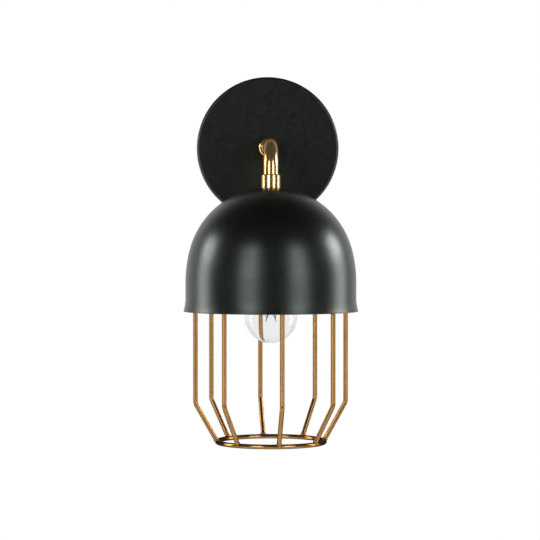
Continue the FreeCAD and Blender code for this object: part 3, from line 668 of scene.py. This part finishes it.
def sideSolder(size):
    # the drop of solder that joins a lead-in wire to the base shell's top edge
    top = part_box("bulb_base_shell")[1].z
    points = []
    for n in range(9):
        share = n / 8
        points.append((axisX + (10.6 + 1.6 * share) * mm, axisY + 0.4 * mm,
                       top - 0.1 * mm - 0.7 * mm * share * share))
    drop = sweptPiece("sideSolder", points, size["solder"], 10,
                      swell=lambda s: 0.35 + 0.65 * math.sin(math.pi * s) ** 0.7)
    dress(drop, "bulb", "solder_tip", solder)


globePiece(bulbSizes)
coiledFilament(bulbSizes)
supportWires(bulbSizes)
sideSolder(bulbSizes)
print("bulb made")


# ---- studio: pale floor, white surround and eight soft lights

studio = {"floorZ": -0.75, "floorHalf": 1.5, "floorLift": 0.4, "focal": 140.0,
          "eye": (-0.0596, -1.900, -0.0742), "aim": (-0.00077, -0.104, -0.1075),
          "diffuse": 0.55, "surround": 0.8, "overhead": 0.25, "dark": 0.012, "front": 0.05,
          "below": 1.0}


def paleFloor():
    half = studio["floorHalf"]
    verts = [(x, y, studio["floorZ"]) for x, y in
             ((-half, -half), (half, -half), (half, half), (-half, half))]
    floor = meshPiece("paleFloor", verts, [(0, 1, 2, 3)])
    material, tree, shader, coords = startMaterial("paleFloorPaper")
    tone = noiseOf(tree, coords, 3, 2)
    rampOf(tree, tone, [(0.3, (0.86, 0.86, 0.86)), (0.7, (0.88, 0.88, 0.88))],
           shader.inputs["Base Color"])
    shader.inputs["Roughness"].default_value = 0.9
    # seen directly, the floor is lifted towards white, and its shadow stays
    path = tree.nodes.new("ShaderNodeLightPath")
    lift = tree.nodes.new("ShaderNodeMath")
    lift.operation = "MULTIPLY"
    lift.inputs[1].default_value = studio["floorLift"]
    tree.links.new(path.outputs["Is Camera Ray"], lift.inputs[0])
    tree.links.new(lift.outputs["Value"], shader.inputs["Emission Strength"])
    shader.inputs["Emission Color"].default_value = (1, 1, 1, 1)
    floor.data.materials.append(material)


def smoothStep(tree, value, start, end, low, high):
    step = tree.nodes.new("ShaderNodeMapRange")
    step.interpolation_type = "SMOOTHSTEP"
    for socket, setting in (("From Min", start), ("From Max", end), ("To Min", low),
                            ("To Max", high)):
        step.inputs[socket].default_value = setting
    tree.links.new(value, step.inputs["Value"])
    return step.outputs["Result"]


def mathOf(tree, operation, first, second):
    node = tree.nodes.new("ShaderNodeMath")
    node.operation = operation
    tree.links.new(first, node.inputs[0])
    tree.links.new(second, node.inputs[1])
    return node.outputs["Value"]


def surround():
    # white to the camera and through glass; shiny surfaces see it pale behind and below,
    # dimmer overhead and dark in front
    world = bpy.data.worlds.new("studioSurround")
    bpy.context.scene.world = world
    world.use_nodes = True
    tree = world.node_tree
    tree.nodes.clear()
    output = tree.nodes.new("ShaderNodeOutputWorld")
    path = tree.nodes.new("ShaderNodeLightPath")
    coords = tree.nodes.new("ShaderNodeTexCoord")
    split = tree.nodes.new("ShaderNodeSeparateXYZ")
    tree.links.new(coords.outputs["Generated"], split.inputs["Vector"])
    behind = smoothStep(tree, split.outputs["Y"], 0.3, 0.85, 0, studio["surround"])
    low = smoothStep(tree, split.outputs["Z"], 0.9, 0.3, studio["overhead"], 1)
    front = smoothStep(tree, split.outputs["Y"], -0.86, -0.97, studio["dark"], studio["front"])
    below = smoothStep(tree, split.outputs["Z"], -0.2, -0.6, 0, studio["below"])
    lowBehind = mathOf(tree, "MULTIPLY", behind, low)
    total = mathOf(tree, "ADD", mathOf(tree, "MAXIMUM", lowBehind, below), front)
    plain = tree.nodes.new("ShaderNodeBackground")
    plain.inputs["Strength"].default_value = studio["diffuse"]
    shiny = tree.nodes.new("ShaderNodeBackground")
    tree.links.new(total, shiny.inputs["Strength"])
    white = tree.nodes.new("ShaderNodeBackground")
    white.inputs["Color"].default_value = (1, 1, 1, 1)
    white.inputs["Strength"].default_value = 1
    seen = mathOf(tree, "MAXIMUM", path.outputs["Is Camera Ray"],
                  path.outputs["Is Transmission Ray"])
    glossMix = tree.nodes.new("ShaderNodeMixShader")
    tree.links.new(path.outputs["Is Glossy Ray"], glossMix.inputs["Fac"])
    tree.links.new(plain.outputs["Background"], glossMix.inputs[1])
    tree.links.new(shiny.outputs["Background"], glossMix.inputs[2])
    lastMix = tree.nodes.new("ShaderNodeMixShader")
    tree.links.new(seen, lastMix.inputs["Fac"])
    tree.links.new(glossMix.outputs["Shader"], lastMix.inputs[1])
    tree.links.new(white.outputs["Background"], lastMix.inputs[2])
    tree.links.new(lastMix.outputs["Shader"], output.inputs["Surface"])
    for plainLook in (plain, shiny):
        plainLook.inputs["Color"].default_value = (1, 1, 1, 1)


# azimuth from the camera's side of the shade, positive to the right, in degrees
softLights = {
    "leftSide": {"azimuth": -102, "distance": 1.3, "width": 0.46, "height": 1.35, "lift": 0.10,
                 "watts": 11},
    "leftUpper": {"azimuth": -102, "distance": 1.25, "width": 0.46, "height": 0.35,
                  "lift": 0.50, "watts": 2.5},
    "leftFront": {"azimuth": -31, "distance": 1.5, "width": 0.66, "height": 1.30, "lift": 0.27,
                  "watts": 8.0},
    "leftCore": {"azimuth": -29, "distance": 1.45, "width": 0.30, "height": 1.00, "lift": 0.52,
                 "watts": 2.4},
    "rightFront": {"azimuth": 36, "distance": 1.5, "width": 0.66, "height": 1.30, "lift": 0.27,
                   "watts": 8.0},
    "rightCore": {"azimuth": 35, "distance": 1.45, "width": 0.30, "height": 1.00, "lift": 0.52,
                  "watts": 2.4},
    "rightSide": {"azimuth": 102, "distance": 1.3, "width": 0.50, "height": 1.35, "lift": 0.10,
                  "watts": 11},
    "rightUpper": {"azimuth": 103, "distance": 1.25, "width": 0.50, "height": 0.40,
                   "lift": 0.54, "watts": 5},
}


def softLight(name, look):
    light = bpy.data.lights.new(name, "AREA")
    light.shape = "RECTANGLE"
    light.size = look["width"]
    light.size_y = look["height"]
    light.energy = look["watts"]
    lamp = bpy.data.objects.new(name, light)
    bpy.context.collection.objects.link(lamp)
    aim = Vector((axisX, axisY, rimZ + look["lift"]))
    angle = math.radians(look["azimuth"])
    away = Vector((math.sin(angle), -math.cos(angle), 0))
    lamp.location = aim + away * look["distance"]
    lamp.rotation_euler = away.to_track_quat("Z", "Y").to_euler()


def camera():
    lens = bpy.data.cameras.new("photoView")
    lens.lens = studio["focal"]
    lens.sensor_width = 36
    view = bpy.data.objects.new("photoView", lens)
    bpy.context.collection.objects.link(view)
    view.location = studio["eye"]
    heading = Vector(studio["aim"]) - Vector(studio["eye"])
    view.rotation_euler = heading.to_track_quat("-Z", "Y").to_euler()
    lens.clip_start = 0.05
    bpy.context.scene.camera = view


paleFloor()
surround()
for lightName, lightLook in softLights.items():
    softLight(lightName, lightLook)
camera()
bpy.context.scene.view_settings.view_transform = "Standard"
print("studio set")
